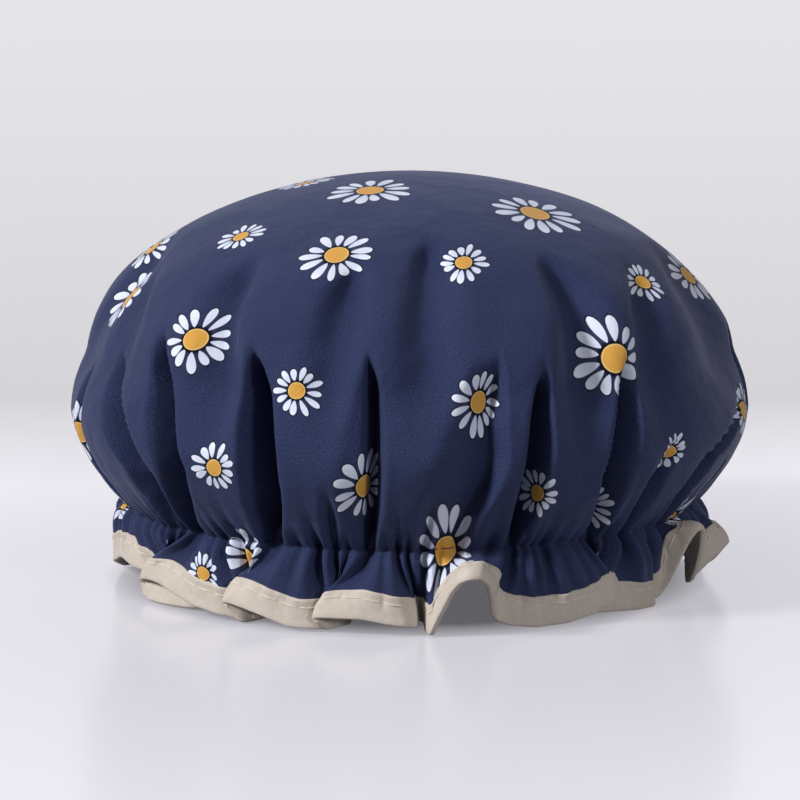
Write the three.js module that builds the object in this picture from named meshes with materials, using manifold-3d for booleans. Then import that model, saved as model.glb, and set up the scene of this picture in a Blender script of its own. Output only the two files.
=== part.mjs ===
// A lined shower cap that stands on a table with its crown puffed up.
// Two round sheets of cloth lie one inside the other. An elastic band gathers both into a neck,
// the cloth below the neck stands out as a ruffle, and a folded tape binds the two raw edges.
// Millimetres, +Z up. The front faces -Y, and angles run from the front towards +X.
// The origin is on the table, in the middle of the cap's footprint.
import * as THREE from "three";
import { mergeVertices } from "three/addons/utils/BufferGeometryUtils.js";
import Module from "manifold-3d";

const wasm = await Module();
wasm.setup();

// Crown
const capWidth = 252; // across the fullest part
const capHeight = 149; // from the table to the top
const fullestHeight = 63; // from the table to the fullest part
const creaseDepth = 15; // of the deepest creases, from the fullest part down
const creaseHalfWidth = 3.8; // degrees
const hollowDepth = 9.5; // of the rounded hollows above the creases
const hollowHalfWidth = 5.8; // degrees

// Neck, which the elastic draws in
const neckDiameter = 210; // over the gathers
const neckHeight = 29;
const neckFoldDepth = 6;

// Ruffle and its binding tape
const hemDiameter = 220; // over the folds
const ruffleFoldDepth = 15;
const ruffleFoldHalfWidth = 4.5; // degrees
const archHeight = 22; // of the highest arch, where the hem rises off the table
const archFlare = 14; // the furthest that an arch stands out
const archHalfWidth = 5.5; // degrees
const bindingWidth = 10;
const footCut = 0.5; // the depth to which the table flattens the hem

// Cloth, film, elastic and thread
const shellThickness = 0.5;
const liningThickness = 0.4;
const bindingThickness = 0.5;
const layerGap = 0.3; // between any two layers that lie on each other
const elasticWidth = 6;
const elasticThickness = 1;
const elasticLap = 16; // where the band's ends lie on each other
const threadDiameter = 0.6;
const seamInset = 2; // from the tape's free edge to its row of stitches
const tackSteps = 8; // zigzag strokes of the tack that joins the elastic's ends
const tackStroke = 1.2; // height of a stroke

// Each crease: its angle at the shoulder and lower down, in degrees, and its share of the full depth
const creases = [
  [-169, -170, 0.9], [-155, -156, 0.7], [-141, -142, 1], [-114, -115, 0.9], [-101, -101, 0.7],
  [-88, -87, 0.9], [-73, -71, 0.7], [-61, -52, 0.9], [-46, -43, 1], [-27, -25, 1], [-6.5, -6, 1],
  [14, 12, 0.6], [22, 20, 0.9], [39, 36, 1], [49, 45, 0.6], [70, 58, 0.8], [85, 83, 1], [97, 95, 0.7],
  [112, 111, 1], [138, 137, 1], [151, 149, 0.7], [163, 164, 1],
];
// Each hollow: its angle at its head and at the shoulder, and its share of the full depth
const hollows = [
  [-156, -156, 0.7], [-128, -128, 0.7], [-101, -101, 0.7], [-79, -79, 0.7], [-65, -61, 0.7],
  [-38, -35, 1], [-12.5, -13.5, 1], [4, 3, 1], [33, 31.5, 1], [51, 45.5, 0.7], [73, 71, 0.6],
  [98, 97, 0.7], [125, 124, 0.8], [150, 150, 0.7], [177, 177, 0.8],
];
// Angles of the ruffle's folds, and each one's share of the full depth
const ruffleFolds = [
  [-178, 1], [-156, 0.9], [-134, 1], [-113, 0.9], [-86, 1], [-60, 1], [-37, 1], [-18, 1],
  [1, 1], [17, 0.8], [42, 0.9], [55, 0.9], [83, 0.9], [101, 0.8], [121, 1], [142, 0.9], [161, 0.8],
];
// Angles of the hem's arches, with each one's share of the full height
const archRises = [[-123, 0.6], [-73, 0.4], [9.5, 1], [63, 0.9], [80, 0.6], [131, 0.6]];
// and of the full flare
const archSpreads = [[-123, 0.7], [-73, 0.2], [9.5, 1], [63, 0.5], [80, 0.6], [131, 0.7]];

// Columns round the cloth at the crown, the shoulder and below, each twice the one before
const crownColumns = 24;
const shoulderColumns = 2 * crownColumns;
const lowerColumns = 2 * shoulderColumns;
const threadSides = 4;

// One bump or dip, 1 at its middle
function bell(x) {
  return Math.exp(-x * x);
}

// The sum of the bumps at the listed angles, as seen at one angle
function bumps(angle, places, halfWidth) {
  let sum = 0;
  for (const [at, size] of places) {
    const away = ((angle - at + 540) % 360) - 180;
    sum += size * bell(away / halfWidth);
  }
  return sum;
}

// A point at an angle from the front, a radius from the axis and a height
function polar(angle, radius, height) {
  const turn = THREE.MathUtils.degToRad(angle);
  return new THREE.Vector3(radius * Math.sin(turn), -radius * Math.cos(turn), height);
}

// Evenly spaced angles round the cap
function columnAngles(count) {
  return Array.from({ length: count }, (_, column) => (360 * column) / count);
}

// The folds listed as pairs of angles, at a share of the way from the first angle to the second
function foldsAt(list, share) {
  return list.map(([from, to, size]) => [THREE.MathUtils.lerp(from, to, share), size]);
}

// A ring of the crown, on the ellipse from its top to its fullest part. The hollows are deepest
// at the shoulder, where the creases start, and the creases at the fullest part.
function crownRing(fromTop, columns) {
  const turn = THREE.MathUtils.degToRad(fromTop);
  const [hollowHead, creaseHead, shoulder, fullest] = [36, 60, 72, 90];
  const inHollow = THREE.MathUtils.smoothstep(fromTop, hollowHead, shoulder);
  const inCrease = THREE.MathUtils.smoothstep(fromTop, creaseHead, fullest);
  const below = THREE.MathUtils.smoothstep(fromTop, shoulder, fullest);
  const creaseSize = creaseDepth * inCrease;
  const hollowSize = hollowDepth * inHollow * (1 - 0.6 * below);
  const creasePlaces = foldsAt(creases, below);
  const hollowPlaces = foldsAt(hollows, inHollow);
  return columnAngles(columns).map((angle) => {
    const crease = creaseSize * bumps(angle, creasePlaces, creaseHalfWidth);
    const hollow = hollowSize * bumps(angle, hollowPlaces, hollowHalfWidth);
    const radius = (capWidth / 2) * Math.sin(turn) - Math.max(crease, hollow);
    return polar(angle, radius, fullestHeight + (capHeight - fullestHeight) * Math.cos(turn));
  });
}

// A ring between the fullest part, at 0, and the neck, at 1
function lowerRing(share) {
  const drawIn = ((capWidth - neckDiameter) / 2) * share ** 2;
  const depth = share < 1 ? creaseDepth : neckFoldDepth;
  const places = foldsAt(creases, 1);
  return columnAngles(lowerColumns).map((angle) => {
    const crease = depth * bumps(angle, places, creaseHalfWidth);
    const height = THREE.MathUtils.lerp(fullestHeight, neckHeight, share);
    return polar(angle, capWidth / 2 - drawIn - crease, height);
  });
}

// The cloth's raw edge, a tape's thickness above the table except in the arches
function hemRing() {
  const edgeHeight = layerGap + bindingThickness;
  return columnAngles(lowerColumns).map((angle) => {
    const fold = ruffleFoldDepth * bumps(angle, ruffleFolds, ruffleFoldHalfWidth);
    const flare = archFlare * bumps(angle, archSpreads, archHalfWidth);
    const lift = archHeight * bumps(angle, archRises, archHalfWidth);
    return polar(angle, hemDiameter / 2 - fold + flare, edgeHeight + lift);
  });
}

// The line on the ruffle that the tape's free edge reaches
function bindingRing(neck, hem) {
  return hem.map((edge, column) => {
    const up = neck[column].clone().sub(edge).setLength(bindingWidth);
    return edge.clone().add(up);
  });
}

// Triangles between two rings, the upper one first. The lower ring may have twice the columns.
function bandTriangles(upperStart, upperCount, lowerStart, lowerCount) {
  const step = lowerCount / upperCount;
  const triangles = [];
  for (let column = 0; column < upperCount; column++) {
    const a = upperStart + column;
    const b = upperStart + ((column + 1) % upperCount);
    const c = lowerStart + step * column;
    const d = lowerStart + ((step * (column + 1)) % lowerCount);
    if (step === 1) {
      triangles.push(a, c, d, a, d, b);
    } else {
      triangles.push(a, c, c + 1, a, c + 1, b, b, c + 1, d);
    }
  }
  return triangles;
}

// A geometry from points and triangles
function meshOf(points, triangles) {
  const geometry = new THREE.BufferGeometry();
  geometry.setFromPoints(points);
  geometry.setIndex(triangles);
  return geometry;
}

// The point of a ring at a share of the way round, on the chord where no column is
function pointRound(ring, share) {
  const place = share * ring.length;
  const column = Math.floor(place);
  const next = ring[(column + 1) % ring.length];
  return ring[column].clone().lerp(next, place - column);
}

// The unit vectors that stand out from the cloth along one ring. Each leans evenly between the
// chords on its two sides, so that layers moved out or in by it stay clear of each other.
function ringNormals(rings, row) {
  const ring = rings[row];
  const unit = (from, to) => to.clone().sub(from).normalize();
  return ring.map((here, column) => {
    const share = column / ring.length;
    const along = unit(ring.at(column - 1), here).add(unit(here, ring[(column + 1) % ring.length]));
    const down = new THREE.Vector3();
    if (row > 0) down.add(unit(pointRound(rings[row - 1], share), here));
    if (row < rings.length - 1) down.add(unit(here, pointRound(rings[row + 1], share)));
    return down.cross(along).normalize();
  });
}

// The outer face of the gathered cloth: a top point and rings down to the raw edge
function clothFace() {
  const neck = lowerRing(1);
  const hem = hemRing();
  const rings = [
    crownRing(18, crownColumns),
    crownRing(36, crownColumns),
    crownRing(54, shoulderColumns),
    crownRing(72, shoulderColumns),
    crownRing(90, lowerColumns),
    lowerRing(0.6),
    neck,
    bindingRing(neck, hem),
    hem,
  ];
  const points = [new THREE.Vector3(0, 0, capHeight), ...rings.flat()];
  const triangles = [];
  for (let column = 0; column < crownColumns; column++) {
    triangles.push(0, 1 + column, 1 + ((column + 1) % crownColumns));
  }
  const starts = [];
  let start = 1;
  for (const ring of rings) {
    starts.push(start);
    start += ring.length;
  }
  for (let row = 1; row < rings.length; row++) {
    triangles.push(
      ...bandTriangles(starts[row - 1], rings[row - 1].length, starts[row], rings[row].length),
    );
  }
  const top = new THREE.Vector3(0, 0, 1);
  const normals = [top, ...rings.flatMap((_, row) => ringNormals(rings, row))];
  const [neckStart, bindingStart, hemStart] = starts.slice(-3);
  return { points, normals, triangles, neckStart, bindingStart, hemStart };
}

const cloth = clothFace();

// A point of the cloth moved out from its face, or in where the distance is negative
function offCloth(index, distance) {
  return cloth.points[index].clone().addScaledVector(cloth.normals[index], distance);
}

// The unit vector along the cloth from the tape's free edge to the raw edge, in one column
function downRuffle(column) {
  const edge = cloth.points[cloth.hemStart + column].clone();
  return edge.sub(cloth.points[cloth.bindingStart + column]).normalize();
}

// How far each face lies from the shell's outer face
const shellInside = -shellThickness;
const liningOutside = shellInside - layerGap;
const liningInside = liningOutside - liningThickness;
const tapeInnerFar = liningInside - layerGap;
const tapeInnerFace = tapeInnerFar - bindingThickness;
const tapeOuterNear = layerGap;
const tapeOuterFace = tapeOuterNear + bindingThickness;

// A sheet of the gathered cloth between two distances from the shell's outer face
function sheetGeometry(outside, inside) {
  const count = cloth.points.length;
  const indices = cloth.points.map((_, index) => index);
  const points = [
    ...indices.map((index) => offCloth(index, outside)),
    ...indices.map((index) => offCloth(index, inside)),
  ];
  const triangles = [...cloth.triangles];
  for (let i = 0; i < cloth.triangles.length; i += 3) {
    const [a, b, c] = cloth.triangles.slice(i, i + 3);
    triangles.push(count + a, count + c, count + b);
  }
  const rim = bandTriangles(cloth.hemStart, lowerColumns, count + cloth.hemStart, lowerColumns);
  return meshOf(points, [...triangles, ...rim]);
}

// A solid swept through stations, each a list of section points that run clockwise along the path.
// The sides named as rising are split along their other diagonal.
function sweptGeometry(stations, closed, rising = []) {
  const sides = stations[0].length;
  const points = stations.flat();
  const triangles = [];
  const last = closed ? stations.length : stations.length - 1;
  for (let step = 0; step < last; step++) {
    const here = step * sides;
    const next = ((step + 1) % stations.length) * sides;
    for (let side = 0; side < sides; side++) {
      const other = (side + 1) % sides;
      const [a, b, c, d] = [here + side, next + side, next + other, here + other];
      triangles.push(...(rising.includes(side) ? [a, b, d, b, c, d] : [a, b, c, a, c, d]));
    }
  }
  if (!closed) {
    const end = (stations.length - 1) * sides;
    for (let side = 1; side < sides - 1; side++) {
      triangles.push(0, side, side + 1, end, end + side + 1, end + side);
    }
  }
  return meshOf(points, triangles);
}

// The section of a thread round one point of its path
function threadSection(centre, out, up) {
  return Array.from({ length: threadSides }, (_, side) => {
    const turn = (2 * Math.PI * side) / threadSides;
    return centre
      .clone()
      .addScaledVector(out, (threadDiameter / 2) * Math.cos(turn))
      .addScaledVector(up, (threadDiameter / 2) * Math.sin(turn));
  });
}

// A closed mesh as a solid for cutting
function solidOf(geometry) {
  const bare = geometry.clone();
  bare.deleteAttribute("normal");
  bare.deleteAttribute("uv");
  const merged = mergeVertices(bare);
  return new wasm.Manifold(
    new wasm.Mesh({
      numProp: 3,
      vertProperties: merged.getAttribute("position").array,
      triVerts: new Uint32Array(merged.index.array),
    }),
  );
}

// A cut solid as a geometry
function geometryOf(solid) {
  const mesh = solid.getMesh();
  const geometry = new THREE.BufferGeometry();
  geometry.setAttribute("position", new THREE.BufferAttribute(mesh.vertProperties, 3));
  geometry.setIndex(new THREE.BufferAttribute(mesh.triVerts, 1));
  return geometry;
}

// The tape folded over the raw edges, in one column: down inside its outer leg, under the edges,
// up outside its inner leg, and back round its own outside
function bindingSection(column) {
  const top = cloth.bindingStart + column;
  const edge = cloth.hemStart + column;
  const down = downRuffle(column);
  const below = (distance, drop) => offCloth(edge, distance).addScaledVector(down, drop);
  return [
    offCloth(top, tapeOuterFace),
    offCloth(top, tapeOuterNear),
    below(tapeOuterNear, layerGap),
    below(tapeInnerFar, layerGap),
    offCloth(top, tapeInnerFar),
    offCloth(top, tapeInnerFace),
    below(tapeInnerFace, layerGap + bindingThickness),
    below(tapeOuterFace, layerGap + bindingThickness),
  ];
}

const lowerColumnList = columnAngles(lowerColumns).map((_, column) => column);
// The tape's legs are split along the same diagonals as the cloth between them
const risingSides = [3, 7];
const tape = sweptGeometry(lowerColumnList.map(bindingSection), true, risingSides);
tape.computeBoundingBox();

// The height of the table against the cloth's own frame
const tableHeight = tape.boundingBox.min.z + footCut;

// The tape with its lowest parts pressed flat by the table
function bindingGeometry() {
  const table = new THREE.BoxGeometry(2 * capWidth, 2 * capWidth, capHeight);
  table.translate(0, 0, tableHeight - capHeight / 2);
  return geometryOf(solidOf(tape).subtract(solidOf(table)));
}

// The row of stitches along the tape, on one of its faces. Besides each column it has a station
// on each diagonal, because the tape bends there too.
function bindingThreadGeometry(face, side) {
  const distance = face + side * (layerGap + threadDiameter / 2);
  const inset = seamInset / bindingWidth;
  const station = (column, rawColumn) => {
    const top = cloth.bindingStart + column;
    const edge = cloth.hemStart + rawColumn;
    const centre = offCloth(top, distance).lerp(offCloth(edge, distance), inset);
    const out = cloth.normals[top].clone().lerp(cloth.normals[edge], inset).normalize();
    return threadSection(centre, out, downRuffle(column).negate());
  };
  const sections = lowerColumnList.flatMap((column) => [
    station(column, column),
    station(column, (column + 1) % lowerColumns),
  ]);
  return sweptGeometry(sections, true);
}

// The row of stitches outside the neck, which follows the gathers.
// It stands off by more than its diameter, because the cloth leans out above and below it.
function gatherNeedleGeometry() {
  const up = new THREE.Vector3(0, 0, 1);
  const sections = lowerColumnList.map((column) => {
    const index = cloth.neckStart + column;
    const centre = offCloth(index, 2 * layerGap + threadDiameter);
    const out = cloth.normals[index].clone().setZ(0).normalize();
    return threadSection(centre, out, up);
  });
  return sweptGeometry(sections, true);
}

// The elastic's outside, against the innermost gathers of the lining at its middle and lower edge
const neckRadii = lowerColumnList.flatMap((column) => {
  const neck = offCloth(cloth.neckStart + column, liningInside);
  const below = offCloth(cloth.bindingStart + column, liningInside);
  const share = Math.min(1, elasticWidth / 2 / neck.distanceTo(below));
  return [neck, neck.clone().lerp(below, share)].map((point) => Math.hypot(point.x, point.y));
});
const elasticOutside = Math.min(...neckRadii) - layerGap;

// Angles along the elastic, which starts at the back and ends one lap past a full turn
const lapAngle = THREE.MathUtils.radToDeg(elasticLap / elasticOutside);
const rampAngle = lapAngle / 2;
const backAngle = 180;

// The outside radius of the band at an angle from its start: it steps in to lie on its own beginning
function elasticRadius(along) {
  const stepIn = THREE.MathUtils.smoothstep(along, 360 - rampAngle, 360);
  return elasticOutside - stepIn * (elasticThickness + layerGap);
}

// The angles at which the band's path has a station
function elasticStations() {
  const even = columnAngles(lowerColumns).filter((along) => along < 360 - rampAngle);
  const ramp = [1, 0.75, 0.5, 0.25, 0].map((share) => 360 - share * rampAngle);
  return [...even, ...ramp, 360 + lapAngle / 2, 360 + lapAngle];
}

function elasticGeometry() {
  const stations = elasticStations().map((along) => {
    const outside = elasticRadius(along);
    const inside = outside - elasticThickness;
    const low = neckHeight - elasticWidth / 2;
    const high = neckHeight + elasticWidth / 2;
    const angle = backAngle + along;
    return [
      polar(angle, outside, low),
      polar(angle, outside, high),
      polar(angle, inside, high),
      polar(angle, inside, low),
    ];
  });
  return sweptGeometry(stations, false);
}

// The band's innermost face at an angle from its start, the lapped end included
function elasticInside(along) {
  const lapped = along <= lapAngle ? along + 360 : along;
  return elasticRadius(lapped) - elasticThickness;
}

// The row of stitches inside the elastic, which passes over the lapped end
function gatherBobbinGeometry() {
  const up = new THREE.Vector3(0, 0, 1);
  const lapEnd = THREE.MathUtils.radToDeg(elasticThickness / elasticOutside);
  const clear = (along) => along > 2 * lapAngle && along < 360 - rampAngle;
  const even = columnAngles(shoulderColumns).filter(clear);
  const atLap = [0, lapAngle / 2, lapAngle + lapEnd];
  const ramp = [1, 0.75, 0.5, 0.25].map((share) => 360 - share * rampAngle);
  const lapRadius = elasticInside(0);
  const stations = [...atLap, lapAngle + rampAngle, ...even, ...ramp].map((along) => {
    const face = along <= lapAngle + lapEnd ? lapRadius : elasticInside(along);
    const angle = backAngle + along;
    const out = polar(angle, 1, 0);
    const centre = polar(angle, face - layerGap - threadDiameter / 2, neckHeight);
    return threadSection(centre, out, up);
  });
  return sweptGeometry(stations, true);
}

// The zigzag tack across the lapped ends, above the row of stitches
function lapTackGeometry() {
  const up = new THREE.Vector3(0, 0, 1);
  const low = neckHeight + threadDiameter + layerGap;
  const radius = elasticInside(0) - layerGap - threadDiameter / 2;
  const stations = Array.from({ length: tackSteps + 1 }, (_, step) => {
    const angle = backAngle + (lapAngle * (step + 1)) / (tackSteps + 2);
    const height = low + (step % 2 ? tackStroke : 0);
    return threadSection(polar(angle, radius, height), polar(angle, 1, 0), up);
  });
  return sweptGeometry(stations, false);
}

// Finishes
const navyCotton = new THREE.MeshStandardMaterial({ color: 0x232b4f, roughness: 0.7, metalness: 0 });
const milkyFilm = new THREE.MeshStandardMaterial({ color: 0xd9dde6, roughness: 0.4, metalness: 0 });
const creamTape = new THREE.MeshStandardMaterial({ color: 0xd8cdbd, roughness: 0.85, metalness: 0 });
const creamThread = new THREE.MeshStandardMaterial({ color: 0xe6dccb, roughness: 0.6, metalness: 0 });
const navyThread = new THREE.MeshStandardMaterial({ color: 0x161a2e, roughness: 0.6, metalness: 0 });
const whiteElastic = new THREE.MeshStandardMaterial({ color: 0xe9e8e3, roughness: 0.8, metalness: 0 });

const pieces = [
  ["outer_shell", sheetGeometry(0, shellInside), navyCotton],
  ["waterproof_lining", sheetGeometry(liningOutside, liningInside), milkyFilm],
  ["elastic_band", elasticGeometry(), whiteElastic],
  ["elastic_lap_tack", lapTackGeometry(), navyThread],
  ["gather_needle_thread", gatherNeedleGeometry(), navyThread],
  ["gather_bobbin_thread", gatherBobbinGeometry(), navyThread],
  ["edge_binding", bindingGeometry(), creamTape],
  ["binding_needle_thread", bindingThreadGeometry(tapeOuterFace, 1), creamThread],
  ["binding_bobbin_thread", bindingThreadGeometry(tapeInnerFace, -1), creamThread],
];

const cap = new THREE.Group();
for (const [name, geometry, material] of pieces) {
  const mesh = new THREE.Mesh(geometry, material);
  mesh.name = name;
  cap.add(mesh);
}

// The table is at height 0, and the middle of the footprint is the origin
const footprint = new THREE.Box3().setFromObject(cap);
const middle = footprint.getCenter(new THREE.Vector3());
for (const mesh of cap.children) {
  mesh.position.set(-middle.x, -middle.y, -tableHeight);
}

export default cap;
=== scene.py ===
import math
import time

import bpy
import numpy as np
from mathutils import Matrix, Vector


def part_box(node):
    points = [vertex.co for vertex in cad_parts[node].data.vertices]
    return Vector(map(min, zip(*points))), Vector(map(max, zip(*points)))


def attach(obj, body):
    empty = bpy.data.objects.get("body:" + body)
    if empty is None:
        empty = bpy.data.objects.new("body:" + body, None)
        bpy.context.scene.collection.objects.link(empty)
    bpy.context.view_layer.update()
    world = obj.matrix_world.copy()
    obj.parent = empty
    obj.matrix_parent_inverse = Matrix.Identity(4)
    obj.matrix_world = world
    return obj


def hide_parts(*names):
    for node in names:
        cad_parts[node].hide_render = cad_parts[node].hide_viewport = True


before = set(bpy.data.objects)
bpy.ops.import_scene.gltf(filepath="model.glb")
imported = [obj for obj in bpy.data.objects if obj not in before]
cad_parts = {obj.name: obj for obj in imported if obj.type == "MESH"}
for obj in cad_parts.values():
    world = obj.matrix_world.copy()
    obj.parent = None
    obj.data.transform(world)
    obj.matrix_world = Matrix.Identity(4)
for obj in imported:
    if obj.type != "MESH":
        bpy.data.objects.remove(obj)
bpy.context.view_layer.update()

started = time.time()
mm = 0.001


def stage(words):
    print("%5.1f s  %s" % (time.time() - started, words))


# camera at the photo's angle
view = dict(elevation=9.0, distance=1.2, target=(-0.0029, 0.0, 0.0639), lens=146.9, sensor=36,
            clip=(0.05, 50))


def makeCamera(s):
    data = bpy.data.cameras.new("photoCamera")
    data.lens = s["lens"]
    data.sensor_width = s["sensor"]
    data.clip_start, data.clip_end = s["clip"]
    camera = bpy.data.objects.new("photoCamera", data)
    bpy.context.scene.collection.objects.link(camera)
    rise = math.radians(s["elevation"])
    back = Vector((0, -math.cos(rise), math.sin(rise)))
    camera.location = Vector(s["target"]) + back * s["distance"]
    camera.rotation_euler = (-back).to_track_quat("-Z", "Y").to_euler()
    bpy.context.scene.camera = camera


makeCamera(view)


# shader maths: a socket with operators, and one method for any other node
class Socket:
    def __init__(self, tree, plug):
        self.tree, self.plug = tree, plug

    def node(self, kind, settings=None, sockets=None, out=0):
        made = self.tree.nodes.new(kind)
        for name, value in (settings or {}).items():
            setattr(made, name, value)
        for name, value in (sockets or {}).items():
            self.feed(made.inputs[name], value)
        return Socket(self.tree, made.outputs[out])

    def feed(self, slot, value):
        if isinstance(value, Socket):
            self.tree.links.new(value.plug, slot)
        else:
            slot.default_value = value

    def maths(self, operation, a, b=0.0, clamp=False):
        return self.node("ShaderNodeMath", dict(operation=operation, use_clamp=clamp), {0: a, 1: b})

    def __add__(self, other):
        return self.maths("ADD", self, other)

    def __radd__(self, other):
        return self.maths("ADD", other, self)

    def __sub__(self, other):
        return self.maths("SUBTRACT", self, other)

    def __rsub__(self, other):
        return self.maths("SUBTRACT", other, self)

    def __mul__(self, other):
        return self.maths("MULTIPLY", self, other)

    def __rmul__(self, other):
        return self.maths("MULTIPLY", other, self)

    def __truediv__(self, other):
        return self.maths("DIVIDE", self, other)

    def __rtruediv__(self, other):
        return self.maths("DIVIDE", other, self)

    def __pow__(self, other):
        return self.maths("POWER", self, other)

    def __rpow__(self, other):
        return self.maths("POWER", other, self)

    def clamped(self):
        return self.maths("ADD", self, 0.0, clamp=True)

    def parts(self):
        split = self.node("ShaderNodeSeparateXYZ", None, {0: self}).plug.node
        return [Socket(self.tree, plug) for plug in split.outputs]

    def blend(self, factor, first, second):
        return self.node("ShaderNodeMix", dict(data_type="RGBA"), {0: factor, 6: first, 7: second}, 2)

    def mixed(self, factor, other):
        return self.blend(factor, self, other)

    def noise(self, scale, detail):
        return self.node("ShaderNodeTexNoise", None, {"Vector": self, "Scale": scale, "Detail": detail})

    def bumped(self, strength, distance):
        return self.node("ShaderNodeBump", None, {"Strength": strength, "Distance": distance, "Height": self})


# a screen colour of 0 to 255 as linear light
def colour(red, green, blue):
    shares = (red / 255, green / 255, blue / 255)
    return tuple(c / 12.92 if c < 0.04045 else ((c + 0.055) / 1.055) ** 2.4 for c in shares) + (1,)


# a new material: its shader node, and a socket to start from
def newMaterial(name, constants):
    material = bpy.data.materials.new(name)
    material.use_nodes = True
    tree = material.node_tree
    shader = tree.nodes["Principled BSDF"]
    for socket, value in constants.items():
        shader.inputs[socket].default_value = value
    place = tree.nodes.new("ShaderNodeTexCoord").outputs["Object"]
    return material, shader, Socket(tree, place)


# two tones mixed by one noise, and a bump from the same or another; a noise is scale and detail
def grainMaterial(name, constants, tones, toneNoise, bumpNoise, bump):
    material, shader, place = newMaterial(name, constants)
    place.feed(shader.inputs["Base Color"], place.blend(place.noise(*toneNoise), *tones))
    place.feed(shader.inputs["Normal"], place.noise(*bumpNoise).bumped(*bump))
    return material


# smooth step: nought up to low, one from high
def ease(x, low, high):
    t = np.clip((x - low) / (high - low), 0, 1)
    return t * t * (3 - 2 * t)


# slow waves of a closed row: a Gaussian over the number of waves round it
def lowPass(values, waves):
    count = values.shape[-1]
    keep = np.exp(-(np.fft.fftfreq(count, 1 / count) / waves) ** 2)
    return np.fft.ifft(np.fft.fft(values) * keep).real


# lengths along a closed line, from its first point round to that point again
def lengthAlong(line):
    return np.r_[0, np.cumsum(np.linalg.norm(np.roll(line, -1, 0) - line, axis=1))]


# places on a closed line at some lengths along it
def atLength(line, along, wanted):
    closed = np.r_[line, line[:1]]
    return np.stack([np.interp(wanted % along[-1], along, closed[:, k]) for k in range(3)], -1)


# even angles round the cap in degrees from the front, beginning at the back
def roundAngles(count):
    return -180 + 360 * np.arange(count) / count


# places at an angle from the front in radians, a distance from the axis and a height
def around(turn, radius, height):
    return np.stack(np.broadcast_arrays(radius * np.sin(turn), -radius * np.cos(turn), height), -1)


# the cap stands round the elastic's own axis
elasticLow, elasticHigh = (np.array(corner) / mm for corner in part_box("elastic_band"))
axis = (elasticLow + elasticHigh) / 2 * (1, 1, 0)
elasticOuter = (elasticHigh[0] - elasticLow[0]) / 2
elasticMiddle = (elasticLow[2] + elasticHigh[2]) / 2

# the gathered cloth in millimetres; rho is the distance from the top along the cloth, rows gives it for
# some rows of the crown, and fuller is added to the section's radius at some heights
cloth = dict(
    top=147.8, fullest=(124.5, 63.2), neck=(105.0, 29.0), ruffle=29.0, sectionSteps=(500, 200),
    columns=960, finer=3, rows=[(0, 0), (17, 80), (55, 176)], neckRow=81, ruffleRows=20,
    fuller=[(29, 0), (40, -1.6), (50, -1.6), (63, -0.4), (73, -1), (84, -2.6), (95, 0), (107, 1.4),
            (129, 2.6), (140, 1.5), (148, 0)],
)


# quarter ellipse from the top to the fullest part, then a parabola in to the neck, both a little fuller or
# slimmer at some heights
def crownSection(s):
    wide, wideAt = s["fullest"]
    slim, slimAt = s["neck"]
    upper, lower = s["sectionSteps"]
    turn = np.linspace(0, np.pi / 2, upper)
    share = np.linspace(0, 1, lower)[1:]
    radius = np.r_[wide * np.sin(turn), slim + (wide - slim) * (1 - share ** 2)]
    height = np.r_[wideAt + (s["top"] - wideAt) * np.cos(turn), wideAt + (slimAt - wideAt) * share]
    radius = radius + np.interp(height, *np.array(s["fuller"]).T)
    rho = np.r_[0, np.cumsum(np.hypot(np.diff(radius), np.diff(height)))]
    return rho, radius, height


sectionRho, sectionRadius, sectionHeight = crownSection(cloth)
neckRho = sectionRho[-1]
hemRho = neckRho + cloth["ruffle"]

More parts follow.
